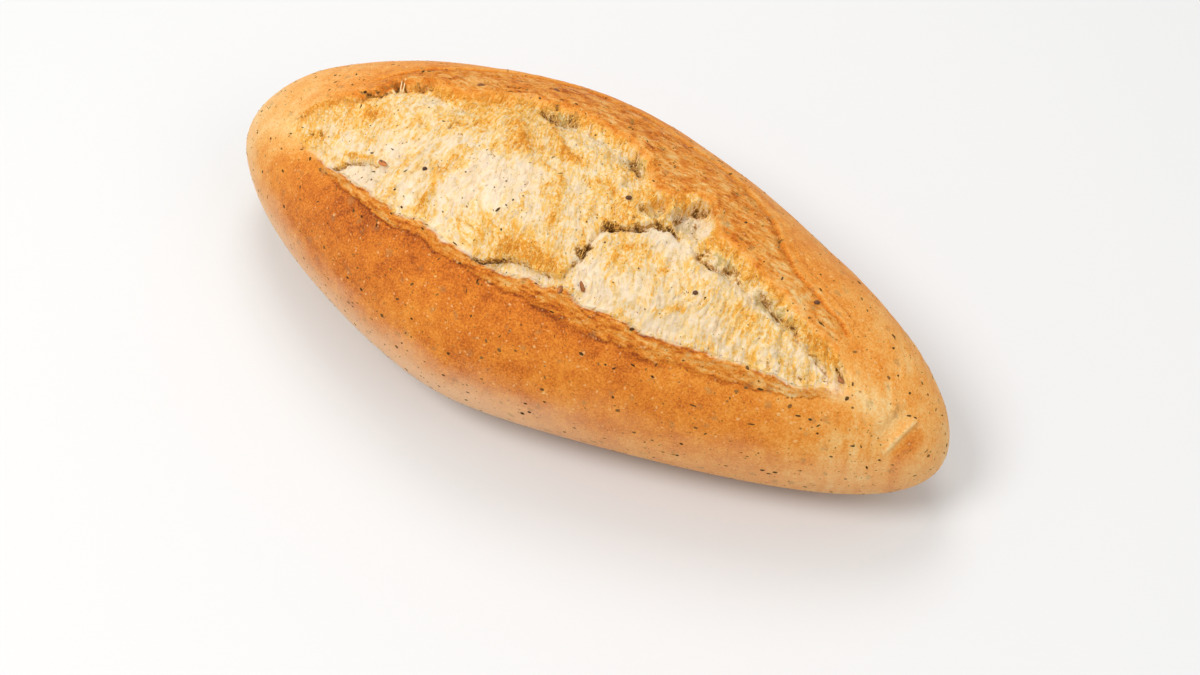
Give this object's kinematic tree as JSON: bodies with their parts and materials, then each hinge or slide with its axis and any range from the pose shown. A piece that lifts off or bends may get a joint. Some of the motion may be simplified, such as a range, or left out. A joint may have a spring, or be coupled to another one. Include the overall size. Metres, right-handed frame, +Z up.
{
  "type": "loaf of bread",
  "caption": "Long hearth-baked herb bread with pointed ends and one slash burst wide open along its top, showing torn crumb; lies on its flat base.",
  "frame": {"origin": "centre of the loaf's box at table level, under the middle of the loaf", "axes": "+X along the loaf towards the tip with the fold, +Y across it away from the side that the slash leans to, +Z up"},
  "size_m": [0.315, 0.1459, 0.0862],
  "materials": {
    "bread": "matte baked crust with pale torn crumb"
  },
  "bodies": {
    "root": {"loaf": "bread"}
  },
  "joints": []
}
